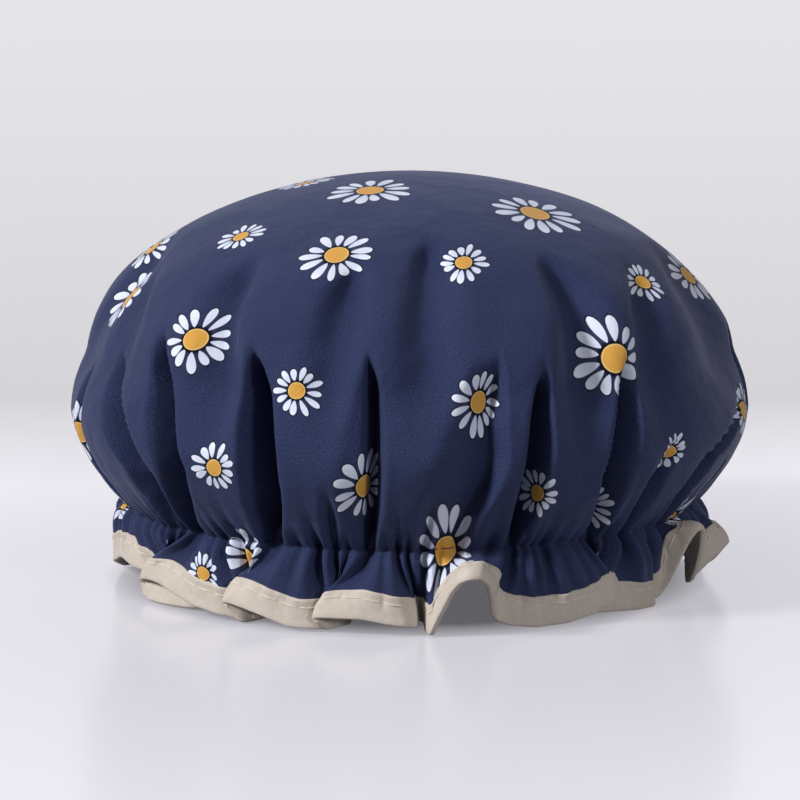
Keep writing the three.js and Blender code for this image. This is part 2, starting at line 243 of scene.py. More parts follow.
# folds of the crown: half width in degrees, depth, lean to the right, where it ends (none: at the neck), and
# its angle from the front at some distances rho, the first being its rounded head
folds = [
    (2.2, 16, 0.0, None, [(140, -63), (150, -60), (157, -57.5), (168, -54.3), (180, -51), (211, -50)]),
    (1.9, 17, 0.0, None, [(131, -48), (140, -46.4), (152, -44.6), (163, -43.5), (175, -42.3), (186, -43.2),
                          (211, -46)]),
    (2.1, 17, 0.0, None, [(132, -28), (139, -27), (147, -25.9), (167, -24.6), (180, -24.8), (211, -27)]),
    (1.2, 5, 0.0, None, [(178, -13.5), (211, -14)]),
    (1.15, 17, 0.0, None, [(133, -7), (140, -6.4), (157, -6), (171, -5.9), (181, -6.3), (211, -8)]),
    (2.1, 6, 0.6, None, [(133, -7), (140, -6.4), (157, -6), (171, -5.9), (181, -6.3), (211, -8)]),
    (1.2, 6, 0.2, None, [(178, 4), (211, 2.5)]),
    (3.3, 11, 0.75, None, [(134, 15), (146, 14.5), (156, 13.8), (166, 13.8), (176, 12.8), (190, 10.5),
                           (211, 9)]),
    (1.4, 15, 0.0, None, [(138, 22.6), (145, 22), (153, 21.2), (165, 20.6), (176, 20), (211, 19)]),
    (1.7, 17, 0.0, None, [(138, 39.8), (147, 39), (156, 37.8), (167, 36.4), (176, 35.4), (211, 37)]),
    (1.5, 10, 0.0, None, [(166, 48.5), (171, 47), (180, 45.2), (211, 44)]),
    (1.8, 13, 0.0, None, [(158, 75), (163, 72.5), (170, 65.5), (177, 59.5), (191, 56.5), (211, 56)]),
    (1.4, 8, 0.2, None, [(182, 70), (211, 67)]),
    (2.2, 15, 0.2, None, [(136, 85), (165, 83), (211, 82)]),
    (1.8, 11, -0.2, None, [(150, 97), (211, 95)]),
    (2.2, 16, 0.2, None, [(132, 112), (165, 111), (211, 110)]),
    (1.6, 9, 0.1, None, [(160, 124), (211, 123)]),
    (2.2, 15, -0.2, None, [(135, 138), (165, 137), (211, 136)]),
    (1.8, 12, 0.2, None, [(148, 151), (211, 149)]),
    (2.3, 16, 0.2, None, [(131, 163), (165, 164), (211, 164)]),
    (1.6, 9, -0.1, None, [(166, 177), (211, 177)]),
    (2.2, 15, 0.2, None, [(138, 191), (165, 190), (211, 189)]),
    (1.8, 11, 0.2, None, [(149, 204), (211, 203)]),
    (2.2, 16, -0.2, None, [(133, 219), (165, 218), (211, 217)]),
    (1.6, 9, 0.1, None, [(161, 231), (211, 231)]),
    (2.2, 15, 0.2, None, [(136, 246), (165, 245), (211, 244)]),
    (1.8, 11, -0.2, None, [(151, 259), (211, 259)]),
    (2.2, 15, 0.2, None, [(134, 272), (165, 273), (211, 274)]),
    (1.8, 12, 0.2, None, [(148, 287), (211, 289)]),
    (4.2, 9.5, 0.0, 165, [(99, -37.5), (105, -38.3), (113, -38.3), (123, -36.9), (136, -34.8), (165, -33.9)]),
    (3.7, 9.5, 0.0, 152, [(98, -11.5), (103, -12.6), (126, -13.2), (158, -13.5)]),
    (4.4, 9.5, 0.0, 152, [(83, 5), (105, 3.8), (117, 3.1), (150, 3)]),
    (4.6, 11, 0.0, 165, [(96, 32.5), (107, 33.5), (114, 33.5), (124, 32.5), (140, 31), (165, 29.5)]),
    (4.2, 6.5, 0.0, 158, [(106, 53), (121, 49), (137, 45.5), (158, 45)]),
    (6.0, 7.0, 0.3, 148, [(108, -66), (130, -62), (150, -60)]),
    (8.0, 6.0, 0.0, 155, [(98, 74), (130, 71), (160, 71)]),
    (7.0, 6.0, 0.3, 142, [(104, 98), (140, 97)]),
    (7.5, 6.5, -0.4, 158, [(92, 125), (165, 124)]),
    (7.0, 6.0, 0.4, 146, [(105, 150), (145, 150)]),
    (7.5, 6.5, 0.3, 160, [(95, 177), (165, 177)]),
    (7.0, 6.0, -0.3, 142, [(103, 204), (142, 204)]),
    (8.0, 6.5, 0.4, 158, [(93, 232), (165, 231)]),
    (7.0, 6.0, 0.3, 146, [(106, 259), (148, 259)]),
    (7.5, 6.0, -0.4, 150, [(96, 281), (160, 281)]),
]

# how a fold opens: its width grows by a power of the distance from a little above its head, from a least
# share to all of it after opens, and its depth eases in over head; towards the neck a crease gets narrower
# and shallower, and a hollow fades round its end
creaseForm = dict(above=5, opens=30, least=0.02, power=0.4, head=(-5, 14), narrow=([186, 204], [1, 0.6]),
                  shallow=([194, 206], [1, 0.6]), reach=1.8, sharp=1.1)
hollowForm = dict(above=14, opens=34, least=0.05, power=0.35, head=(-10, 14), fade=(-40, 22), round=2.2)


# a fold at one distance rho: a channel, steeper on the side it leans to, that widens like an arch below its
# head; a crease is a valley with straight sides, and a hollow is a rounded one
def foldDip(fold, theta, rho):
    half, deep, lean, end, path = fold
    s = creaseForm if end is None else hollowForm
    below = rho - path[0][0]
    away = (theta - np.interp(rho, *np.array(path).T) + 540) % 360 - 180  # from -180 to 180
    wide = half * np.clip((below + s["above"]) / s["opens"], s["least"], 1) ** s["power"]
    size = ease(below, *s["head"])
    if end is None:
        wide = wide * np.interp(rho, *s["narrow"])
        size = size * np.interp(rho, *s["shallow"])
    else:
        size = size * (1 - ease(rho, end + s["fade"][0], end + s["fade"][1]))
    away = np.abs(away / (wide * (1 - lean * np.sign(away))))
    if end is None:
        return deep * size * np.maximum(0, 1 - away / s["reach"]) ** s["sharp"]
    return deep * size * np.exp(-away ** s["round"])


# gathers drawn up by the elastic, small ones and finer ones that are deepest at the neck: their count,
# their depth at some distances rho, and the sines by which their pace and depth wander (size, waves round
# the cap, shift)
gathers = dict(count=56, rho=[160, 184, 196, 204, 208], size=[0, 0.5, 1.3, 2.4, 3.0], sharp=1.6, wander=1.7,
               pace=[(0.5, 7, 1.0), (0.45, 11, 2.2), (0.35, 17, 0.4)],
               mean=0.66, uneven=[(0.16, 5, 0.7), (0.18, 23, 2.9)])
fineGathers = dict(count=124, rho=[184, 196, 206], size=[0, 1.3, 4.6], sharp=1.0, wander=1.3,
                   pace=[(0.6, 13, 0.2), (0.5, 29, 1.1)],
                   mean=0.66, uneven=[(0.2, 19, 0.9), (0.14, 41, 2.0)])


# a sum of sines round the cap
def sines(turn, waves):
    return sum(size * np.sin(count * turn + shift) for size, count, shift in waves)


# rounded lobes between sharp creases: one less the size of a sine whose pace wanders, to a power
def gatherDip(theta, rho, s):
    turn = np.radians(theta)
    lobes = np.abs(np.sin(s["count"] / 2 * turn + s["wander"] * sines(turn, s["pace"])))
    deep = s["mean"] + sines(turn, s["uneven"])
    return deep * (1 - lobes) ** s["sharp"] * np.interp(rho, s["rho"], s["size"])


# broad slack places that keep the crown from being a perfect dome: slow waves (size, waves round the cap,
# the distance rho in which they wind on by a radian, shift), and their share at some distances rho
slack = dict(size=0.55, waves=[(1, 5, 17, 0.4), (1, 8, -13, 2.0), (0.8, 11, 9, 4.1)],
             rho=[25, 70, 130, 165], share=[0, 1, 1, 0.3])


def slackDip(theta, rho, s):
    waves = [(size, count, rho / wind + shift) for size, count, wind, shift in s["waves"]]
    return s["size"] * sines(np.radians(theta), waves) * np.interp(rho, s["rho"], s["share"])


# rings of the crown: samples of each, the finest waves kept, the plain top without folds, the room outside
# the elastic that the cloth keeps at some distances rho and how softly, and the rounds of evening out
rings = dict(samples=2880, finest=600, plain=20, roomRho=[182, 200], room=[-16, 2.0], soft=1.2, rounds=40)


# each ring is the section's circle less its folds, kept outside the elastic near the neck, and cut into
# nearly equal lengths of cloth; the cuts are evened out from ring to ring, so that the cloth doesn't shear
# beside a fold's head
def crownGrid(rhoRows, columns, s):
    theta = roundAngles(s["samples"])
    turn = np.radians(theta)
    even = roundAngles(columns)
    wide = np.r_[theta - 360, theta, theta + 360]
    radii, cuts = [], []
    for rho in rhoRows:
        dip = np.cbrt(sum(foldDip(fold, theta, rho) ** 3 for fold in folds))
        dip = dip + gatherDip(theta, rho, gathers) + slackDip(theta, rho, slack)
        dip = dip + gatherDip(theta, rho, fineGathers)
        radius = np.interp(rho, sectionRho, sectionRadius) - lowPass(dip, s["finest"]) * (rho > s["plain"])
        if rho > s["roomRho"][0]:
            least = elasticOuter + np.interp(rho, s["roomRho"], s["room"])
            radius = least + ((radius - least) + np.hypot(radius - least, s["soft"])) / 2
        x, y = radius * np.sin(turn), -radius * np.cos(turn)
        along = np.cumsum(np.hypot(x - np.roll(x, 1), y - np.roll(y, 1)))
        share = along / along[-1] * 360 - 180
        share = share - np.mean(share - theta)
        cuts.append(np.interp(even, np.r_[share - 360, share, share + 360], wide))
        radii.append(radius)
    cuts = np.array(cuts)
    for _ in range(s["rounds"]):
        above, below = np.r_[cuts[:1], cuts[:-1]], np.r_[cuts[1:], cuts[-1:]]
        cuts = 0.5 * cuts + 0.25 * (above + below)
    r = np.array([np.interp(cut, wide, np.tile(radius, 3)) for cut, radius in zip(cuts, radii)])
    return around(np.radians(cuts), r, np.interp(rhoRows, sectionRho, sectionHeight)[:, None])


# hem of the ruffle: angle from the front, radius and height of its lower edge, in sewing order; level is
# the length over which the cloth's own angle is averaged
hem = dict(
    front=[
        (-78, 107, 10.5), (-70, 106, 10), (-64, 103.5, 9.5), (-58, 101, 6), (-52, 98.5, 3.5),
        (-46.5, 96.5, 2.5), (-46, 98.5, 1.5), (-49, 102, 1.2), (-55, 104.5, 0.9), (-60.5, 106, 0.9),
        (-62.6, 106.8, 3.4), (-62.6, 107.8, 7.4), (-60.5, 108.6, 9), (-57, 109, 9.8), (-53.5, 109, 9.6),
        (-49, 108.7, 7.3), (-44.6, 108, 4.8), (-38.8, 106.8, 3), (-35, 105, 2.2), (-31.5, 101.5, 2),
        (-29.5, 98.5, 2.2), (-30, 96.5, 2), (-32.2, 101, 1), (-33.8, 105.2, 0.8), (-35.6, 107.2, 4.2),
        (-36.5, 108.6, 8), (-34.8, 109.6, 8.4), (-31.3, 109.6, 7.2), (-27.3, 109.2, 5.2),
        (-22.8, 108.2, 2.3), (-19, 106.8, 1.8), (-16.2, 104.5, 1.6), (-13.2, 101, 2), (-12, 97.5, 2.5),
        (-12.6, 95.8, 2.4), (-14.4, 100, 1.4), (-16.1, 104.8, 1.2), (-17.4, 107.4, 3.8), (-17.8, 108.8, 6),
        (-16, 109.6, 6.5), (-12, 109.6, 6.6), (-8.7, 109.4, 6.6), (-4.2, 109, 4.9), (-1, 108.4, 4),
        (0.8, 106, 3.4), (1.4, 101, 3), (1.2, 95, 3), (2.2, 93.5, 3), (3, 97, 2.4), (3, 103, 1.2),
        (3.6, 108.5, 0.9), (4.4, 110.5, 5.5), (5.5, 113.5, 11), (6.6, 118, 17.5), (7.7, 121.5, 21.6),
        (9, 123.8, 23.2), (11, 123.5, 23.2), (12.8, 120.5, 20), (13.9, 116, 13.5), (14.8, 111, 7.6),
        (15.8, 108.8, 5.2), (18, 108.5, 3.6), (23, 109, 2.2), (29.5, 109, 2.4), (36.3, 108.5, 4.4),
        (41, 108, 7.6), (43.6, 106, 9.4), (43.4, 103, 9), (40, 100.5, 7), (36.5, 98.5, 5), (34.2, 98.8, 4),
        (34.4, 101, 3.6), (38, 103, 3), (44, 104.5, 2.2), (50, 105, 1), (54.5, 105, 0.6),
        (56.4, 103.8, 0.8), (56, 101, 1.4), (53.5, 98.5, 2), (52.5, 97.5, 2), (53, 99.5, 2), (55.5, 102, 2),
        (57.3, 104.5, 3), (58, 107.5, 8), (58.3, 111, 15.5), (58.8, 114.5, 23), (60, 117, 27.6),
        (62, 117.5, 26.6), (64, 115.5, 19.5), (66, 112.5, 11.5), (67.6, 109.5, 6), (69.4, 106.8, 4),
        (72, 107.6, 5.5), (74.5, 111.5, 9.5), (77.5, 116, 14), (81, 117.5, 15), (84, 116, 12),
        (86.5, 112, 6), (88.5, 108.5, 3),
    ],
    back=dict(
        start=90, end=282, folds=[104, 121, 141, 158, 178, 195, 212, 231, 248, 266],
        lean=[2, -3, 3, -2, -3, 2, 3, -3, 2, -2], lift=[2, 6, 1.5, 9, 2, 1.5, 7, 2, 5, 2, 6],
        lobe=109.5, lastLobe=109, cornerOff=1.4, corner=(107, 1.6), flankOff=0.6, flank=(101, 2),
        tip=(95, 2.5), lead=(0.4, 0.6),
    ),
    samples=6000, round=1.2, level=45.0,
)


# the back of the hem: an even lobe between neighbouring folds, and at each fold a leaning pleat of two
# corners, two flanks and a tip
def backHem(s):
    points = []
    start = s["start"]
    for fold, lean, lift in zip(s["folds"], s["lean"], s["lift"]):
        points.append(((start + fold) / 2, s["lobe"], lift))
        points.append((fold - s["cornerOff"], *s["corner"]))
        points.append((fold - s["flankOff"] + lean * s["lead"][0], *s["flank"]))
        points.append((fold + lean, *s["tip"]))
        points.append((fold + s["flankOff"] + lean * s["lead"][1], *s["flank"]))
        points.append((fold + s["cornerOff"], *s["corner"]))
        start = fold + s["cornerOff"]
    return points + [((start + s["end"]) / 2, s["lastLobe"], s["lift"][-1])]


# straight runs between the points, rounded by a Gaussian blur along the edge; the cloth's own angle of a
# point on the edge is the angle round the cap averaged over a wider stretch, so it only grows
def hemLine(s, columns):
    angle, radius, height = np.array(s["front"] + backHem(s["back"]), float).T
    line = around(np.radians(angle), radius, height)
    along = lengthAlong(line)
    count = s["samples"]
    line = atLength(line, along, np.arange(count) * along[-1] / count)
    wave = np.fft.fftfreq(count, along[-1] / count)[:, None]

    def blur(values, width):
        return np.fft.ifft(np.fft.fft(values, axis=0) * np.exp(-2 * (np.pi * width * wave) ** 2), axis=0).real

    line = blur(line, s["round"])
    angle = np.unwrap(np.arctan2(line[:, 0], -line[:, 1]))
    trend = angle[0] + 2 * np.pi * np.arange(count) / count
    own = np.degrees(trend + blur((angle - trend)[:, None], s["level"])[:, 0])
    own = np.r_[own - 360, own, own + 360]
    line = np.r_[line, line, line]
    return np.stack([np.interp(roundAngles(columns), own, line[:, k]) for k in range(3)], 1)


# edge binding: one strip of tape folded over the hem, with a dimple at every needle hole; the edges are
# offsets out of the cloth and down, and row is the seam's place in shares of the width
binding = dict(
    width=10.0, flatWidth=22.0, outside=0.6, inside=1.5, layers=9, pitch=7.4, row=0.3, hole=0.45,
    holeWide=0.9, upperEdge=[(0.05, 0), (0.45, 0.1)], upperDrop=0.35,
    hemRound=[(0.35, 0.4), (-0.45, 0.55), (-1.25, 0.4)], innerEdge=1.0,
    tones=(colour(184, 172, 160), colour(208, 198, 188)), mottle=(420.0, 4.0), weave=(1500.0, 2.0),
    bump=(0.25, 0.0005),
)

# how the ruffle hangs: how far its threads leave the neck outwards, how much further for each millimetre
# that the neck stands out past its slow waves, and downwards, how far outwards they arrive at the hem, the
# points of a thread, the tuck where the hem doubles back, and the most of a thread that the tape takes
drape = dict(slow=20, leaveOut=0.8, leaveMore=0.14, leaveDown=0.6, arriveOut=0.15, points=60, tuck=2.8,
             tuckSpan=19, tapeMost=0.6)


# each thread of the ruffle leaves the neck outwards, the further the more it stands out there, and ends
# hanging at the hem: a cubic between the two, tucked in where the hem doubles back, on which the tape
# always takes its own width up from the hem
def ruffleGrid(neckLine, hemPoints, shares):
    radius = np.linalg.norm(neckLine[:, :2], axis=1)
    outward = neckLine * (1, 1, 0) / radius[:, None]
    down = np.array((0, 0, -1.0))
    reach = np.linalg.norm(hemPoints - neckLine, axis=1, keepdims=True)
    proud = (radius - lowPass(radius, drape["slow"]))[:, None]
    leave = reach * ((drape["leaveOut"] + drape["leaveMore"] * proud) * outward + drape["leaveDown"] * down)
    arrive = reach * (drape["arriveOut"] * outward + down)
    t = np.linspace(0, 1, drape["points"])[:, None, None]
    p = ((2 * t ** 3 - 3 * t ** 2 + 1) * neckLine + (t ** 3 - 2 * t ** 2 + t) * leave
         + (3 * t ** 2 - 2 * t ** 3) * hemPoints + (t ** 3 - t ** 2) * arrive)
    turned = np.gradient(np.unwrap(np.arctan2(hemPoints[:, 0], -hemPoints[:, 1]))) < 0
    window = np.hanning(drape["tuckSpan"]) / (drape["tuckSpan"] // 2)
    tuck = drape["tuck"] * np.convolve(turned, window, "same")[:, None]
    p = p - 4 * t * (1 - t) * tuck * outward
    along = np.cumsum(np.linalg.norm(np.diff(p, axis=0), axis=2), axis=0)
    along = np.concatenate([0 * along[:1], along])
    free = along[-1] - np.minimum(binding["width"], drape["tapeMost"] * along[-1])
    edge = 1 - binding["width"] / cloth["ruffle"]
    each = np.arange(p.shape[1])
    rows = []
    for share in shares:
        wanted = free * min(share / edge, 1) + (along[-1] - free) * max((share - edge) / (1 - edge), 0)
        k = np.clip((along < wanted).sum(0) - 1, 0, len(t) - 2)
        part = (wanted - along[k, each]) / (along[k + 1, each] - along[k, each])
        rows.append(p[k, each] + (p[k + 1, each] - p[k, each]) * part[:, None])
    return np.array(rows)


# the way out of the cloth at every grid point
def gridNormals(p):
    along = np.roll(p, -1, 1) - np.roll(p, 1, 1)
    down = np.gradient(p, axis=0)
    n = np.cross(down, along)
    return n / np.maximum(np.linalg.norm(n, axis=2, keepdims=True), 1e-12)


# crown and ruffle as one fine grid, from the first ring round the top to the hem, of which the cloth takes
# every third column
rowNumber, rowRho = np.array(cloth["rows"] + [(cloth["neckRow"], neckRho)]).T
crownRho = np.interp(np.arange(1, cloth["neckRow"] + 1), rowNumber, rowRho)
fineCrown = crownGrid(crownRho, cloth["finer"] * cloth["columns"], rings)
fineHem = hemLine(hem, cloth["finer"] * cloth["columns"])
ruffleShares = np.linspace(0, 1, cloth["ruffleRows"] + 1)[1:]
grid = np.r_[fineCrown, ruffleGrid(fineCrown[-1], fineHem, ruffleShares)][:, ::cloth["finer"]]
gridRho = np.r_[crownRho, neckRho + ruffleShares * cloth["ruffle"]]


# a smooth mesh from places in millimetres round the cap's axis
def meshObject(name, verts, faces):
    mesh = bpy.data.meshes.new(name)
    mesh.from_pydata(((verts + axis) * mm).tolist(), [], faces)
    mesh.polygons.foreach_set("use_smooth", np.ones(len(mesh.polygons), bool))
    made = bpy.data.objects.new(name, mesh)
    bpy.context.scene.collection.objects.link(made)
    return made


# mesh of a grid closed round its columns; a pole point closes the first row
def gridMesh(name, p, pole=None):
    rows, columns, _ = p.shape
    index = np.arange(rows * columns).reshape(rows, columns)
    right = np.roll(index, -1, 1)
    faces = np.stack([index[:-1], index[1:], right[1:], right[:-1]], 2).reshape(-1, 4).tolist()
    verts = p.reshape(-1, 3)
    if pole is not None:
        faces += np.stack([np.full(columns, len(verts)), index[0], right[0]], 1).tolist()
        verts = np.r_[verts, [pole]]
    return meshObject(name, verts, faces)


# what every piece gets: its material and its body, and the node that it replaces is hidden
def dress(piece, material, node):
    piece.data.materials.append(material)
    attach(piece, "root")
    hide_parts(node)


# painted shade in the creases, standing in for the shade that falls there: the slow waves of a ring that a
# crease lies inside, the depth that takes all the painted shade and the share of it, on the crown and at the
# neck, and the length over which the neck counts
creaseShadePaint = dict(slow=40, crownDeep=1.8, neckDeep=1.0, crownShare=0.5, neckShare=1.0, neckSpan=11)


# the painted shade at each point: how far it lies inside its ring's slow waves, as a share of a full crease
def paintCreaseShade(piece, p, s):
    atNeck = np.exp(-((gridRho - neckRho) / s["neckSpan"]) ** 2)[:, None]
    deep = s["crownDeep"] + (s["neckDeep"] - s["crownDeep"]) * atNeck
    radius = np.linalg.norm(p[:, :, :2], axis=2)
    paint = np.clip((lowPass(radius, s["slow"]) - radius) / deep, 0, 1)
    paint = paint * (s["crownShare"] + (s["neckShare"] - s["crownShare"]) * atNeck)
    # the painted shade is stored as the crease attribute, which darkens the cloth's base colour
    crease = piece.data.attributes.new("crease", "FLOAT", "POINT")
    crease.data.foreach_set("value", np.r_[paint.ravel(), 0])


shell = gridMesh("outerShell", grid, pole=(0, 0, cloth["top"]))
paintCreaseShade(shell, grid, creaseShadePaint)
stage("shell %d by %d" % grid.shape[:2])

# printed daisies on the flat disc: distance rho, cloth angle, radius, turn; the front ones lie roughly
# where the photo has them, and tall is the number of one that is printed taller, and by how much
daisies = dict(
    front=[
        (36.1, -23.2, 16, 0), (63, 45.7, 17.5, 50), (81.6, -49.7, 9.5, 100), (87.8, -18.2, 14, 20),
        (91.9, 13.3, 9.8, 70), (108.4, 58.7, 9, 10), (98, -87.5, 12, 200), (120.8, -79, 15, 130),
        (129.1, -43.4, 13.2, 30), (143.6, -17.8, 9.4, 80), (147.7, 13.3, 13, 160), (135.3, 41.6, 17, 0),
        (172.5, -33.5, 10, 40), (176.6, -9.2, 14, 210), (180.7, 24.5, 10, 90), (207.5, 6.5, 16, 20),
        (191.1, 38.6, 11, 60), (170.4, 52.9, 7.8, 140), (112, 84, 12.5, 30), (172.5, -79, 13, 75),
        (164.2, 75.5, 11, 10), (222.2, -42.6, 8.5, 0), (212.9, -35, 14, 110), (207.5, -79.4, 11, 45),
        (205.5, 65, 11, 20), (38.2, -89, 11, 0),
    ],
    back=dict(rows=[(52, 3), (98, 5), (144, 6), (188, 7), (221, 6)], start=100, end=262, first=0.3,
              stagger=0.4, pace=12.9, rowPace=4.1, rhoNudge=9, turnPace=7.7, turnNudge=5, radius=11.5,
              radiusNudge=3, spin=170),
    tall=(15, 1.35), reach=2.2, none=9.0,
)


# the back's daisies stand in offset rows of some count at a distance rho, each nudged by sines of its number
def daisyList(front, s):
    daisyRows = list(front)
    for row, (rho, count) in enumerate(s["rows"]):
        n = np.arange(count)
        angle = s["start"] + (s["end"] - s["start"]) * (n + s["first"] + s["stagger"] * (row % 2)) / count
        angle = angle + s["turnNudge"] * np.cos(s["turnPace"] * n + row)
        nudge = np.sin(s["pace"] * n + s["rowPace"] * row)
        radius = s["radius"] + s["radiusNudge"] * nudge
        daisyRows += list(zip(rho + s["rhoNudge"] * nudge, angle, radius, s["spin"] * nudge))
    return np.array(daisyRows)


# how the cloth is stretched round each daisy, across and along a thread: the root of its mean metric
def clothStretch(flat, rows, columns, middles, sizes):
    step = 2 * np.pi * rows[:, None, None] / columns
    across = (np.roll(grid, -1, 1) - np.roll(grid, 1, 1)) / (2 * step)
    along = np.gradient(grid, rows, axis=0)
    pairs = ((across, across), (across, along), (along, along))
    metric = np.stack([(a * b).sum(2).ravel() for a, b in pairs], 1)
    stretch = []
    for middle, size in zip(middles, sizes):
        wide, skew, long = metric[np.linalg.norm(flat - middle, axis=1) < size].mean(0)
        root = math.sqrt(wide * long - skew ** 2)
        stretch.append(np.array((wide + root, skew, long + root)) / math.sqrt(wide + long + 2 * root))
    return np.array(stretch)


# every face takes the nearest daisy, and its corners their place from that daisy's middle in its own
# radius, or one place outside all petals where no daisy is within reach
def printDaisies(piece, rows, columns, s):
    mesh = piece.data
    rho, angle, size, spin = daisyList(s["front"], s["back"]).T
    turn = np.radians(angle)
    outward = around(turn, 1, 0)[:, :2]
    middles = rho[:, None] * outward
    flat = around(np.radians(roundAngles(columns)), rows[:, None], 0)[:, :, :2].reshape(-1, 2)
    flat = np.r_[flat, [(0, 0)]]
    corner = np.empty(len(mesh.loops), int)
    mesh.loops.foreach_get("vertex_index", corner)
    first, total = np.empty(len(mesh.polygons), int), np.empty(len(mesh.polygons), int)
    mesh.polygons.foreach_get("loop_start", first)
    mesh.polygons.foreach_get("loop_total", total)
    owner = np.repeat(np.arange(len(total)), total)
    centre = np.add.reduceat(flat[corner], first) / total[:, None]
    near = np.linalg.norm(centre[:, None] - middles[None], axis=2) / size
    best = near.argmin(1)
    pick = best[owner]
    gone = flat[corner] - middles[pick]
    out = outward[pick]
    aside = gone[:, 1] * out[:, 0] - gone[:, 0] * out[:, 1]
    tallOne, taller = s["tall"]
    away = (gone * out).sum(1) / np.where(pick == tallOne, taller, 1)
    wide, skew, long = clothStretch(flat[:-1], rows, columns, middles, size)[pick].T
    aside, away = wide * aside + skew * away, skew * aside + long * away
    cos, sin = np.cos(np.radians(spin))[pick], np.sin(np.radians(spin))[pick]
    local = np.stack([aside * cos - away * sin, aside * sin + away * cos], 1) / size[pick, None]
    local[near.min(1)[owner] > s["reach"]] = s["none"]
    mesh.uv_layers.new(name="daisy").data.foreach_set("uv", local.ravel())
    mesh.uv_layers.new(name="weave").data.foreach_set("uv", (flat[corner] * mm).ravel())
    mesh.attributes.new("daisySeed", "FLOAT", "FACE").data.foreach_set("value", best.astype(float))


printDaisies(shell, gridRho, cloth["columns"], daisies)
stage("daisies placed")

# the print, and the painted shade in its creases: sizes in shares of a daisy's radius, where a pair is the
# least size and what chance adds, or a disc and its soft edge; noises are scale, detail and height;
# creaseShading is the share of painted shade
printed = dict(
    navy=colour(23, 28, 53), worn=colour(60, 69, 104), black=colour(12, 13, 24), petal=colour(226, 231, 246),
    petalFoot=colour(205, 212, 234), middle=colour(211, 158, 74), rim=colour(230, 194, 128),
    sheen=colour(150, 165, 225), creaseShading=0.4, outlined=0.75, petals=13, turned=0.14, foot=0.55, edge=0.022,
    petalStart=0.36, petalLong=(0.42, 0.24), petalHalf=(0.125, 0.04),
    outlineStart=0.32, outlineLong=(0.5, 0.24), outlineHalf=(0.16, 0.04),
    ringDisc=(0.43, 0.06), rimDisc=(0.315, 0.016), middleDisc=(0.29, 0.02),
    speck=(2100.0, 2.0), speckGain=2.0, speckLess=0.5, crinkle=(48.0, 3.0, 0.0022),
    grain=(1900.0, 1.0, 0.00022),
)


# an oval, thinner at its foot, in shares of its length along and in its half width across
def petalMask(along, across, half, s):
    oval = along.maths("MAXIMUM", 4 * along * (1 - along), 0.0) ** 0.5
    return ((half * oval * (s["foot"] + s["foot"] * along) - across) / s["edge"]).clamped()


# one inside a disc, nought outside it
def discMask(far, disc):
    radius, edge = disc
    return ((radius - far) / edge).clamped()


# a daisy in polar coordinates: petals of chance lengths and widths, each in a dark outline
def printedCloth(s):
    material, shader, place = newMaterial("printedCloth", {"Roughness": 0.5, "Specular IOR Level": 0.1,
                                                           "Sheen Weight": 0.1, "Sheen Roughness": 0.5,
                                                           "Sheen Tint": s["sheen"]})
    x, y, _ = place.node("ShaderNodeUVMap", dict(uv_map="daisy")).parts()
    seed = place.node("ShaderNodeAttribute", dict(attribute_name="daisySeed"), None, "Fac")
    weave = place.node("ShaderNodeUVMap", dict(uv_map="weave"))
    far = (x * x + y * y) ** 0.5
    step = 2 * math.pi / s["petals"]
    angle = place.maths("ARCTAN2", y, x)
    number = place.maths("ROUND", angle / step)
    pair = place.node("ShaderNodeCombineXYZ", None, {0: number, 1: seed})
    chance = place.node("ShaderNodeTexWhiteNoise", dict(noise_dimensions="2D"), {"Vector": pair}, "Color")
    longer, wider, aside = chance.parts()
    off = angle - number * step - (aside - 0.5) * s["turned"]
    along = far * place.maths("COSINE", off)
    across = place.maths("ABSOLUTE", far * place.maths("SINE", off))
    petalLong, outlineLong = (s[k][0] + s[k][1] * longer for k in ("petalLong", "outlineLong"))
    petalHalf, outlineHalf = (s[k][0] + s[k][1] * wider for k in ("petalHalf", "outlineHalf"))
    t = (along - s["petalStart"]) / petalLong
    petal = petalMask(t, across, petalHalf, s)
    outline = petalMask((along - s["outlineStart"]) / outlineLong, across, outlineHalf, s)
    ring, rim, middle = (discMask(far, s[k]) for k in ("ringDisc", "rimDisc", "middleDisc"))
    speck = (weave.noise(*s["speck"]) * s["speckGain"] - s["speckLess"]).clamped()
    # the crease attribute is painted shade: the navy is darkened towards black by it, before the petals are
    # drawn
    crease = place.node("ShaderNodeAttribute", dict(attribute_name="crease"), None, "Fac")
    base = place.blend(speck, s["navy"], s["worn"]).mixed(crease * s["creaseShading"], s["black"])
    base = base.mixed(outline * s["outlined"], s["black"]).mixed(ring, s["black"])
    leaf = place.blend(t.clamped(), s["petalFoot"], s["petal"])
    base = base.mixed(petal, leaf).mixed(rim, s["rim"]).mixed(middle, s["middle"])
    place.feed(shader.inputs["Base Color"], base)
    crinkle, grain = (weave.noise(scale, detail) * high for scale, detail, high in (s["crinkle"], s["grain"]))
    place.feed(shader.inputs["Normal"], (crinkle + grain).bumped(1.0, 1.0))
    return material


dress(shell, printedCloth(printed), "outer_shell")
2 * hemRho * mm
2 * hemRho * mm
math.pi * (hemRho * mm) ** 2

# waterproof lining: the shell's shape set inwards by some distance on the crown, in the ruffle and in its
# folds; loosens is the stretch beside the neck where crown passes into ruffle, and facing the outward share
# of a normal where fold passes into ruffle
lining = dict(inside=1.1, ruffle=0.7, folded=0.4, middle=(0, 0, 45.0), loosens=(-6, 8), facing=(0.0, 0.5),
              tones=(colour(206, 214, 230), colour(219, 227, 239)), clouds=(60.0, 3.0), crinkle=(900.0, 2.0),
              bump=(0.15, 0.0005))


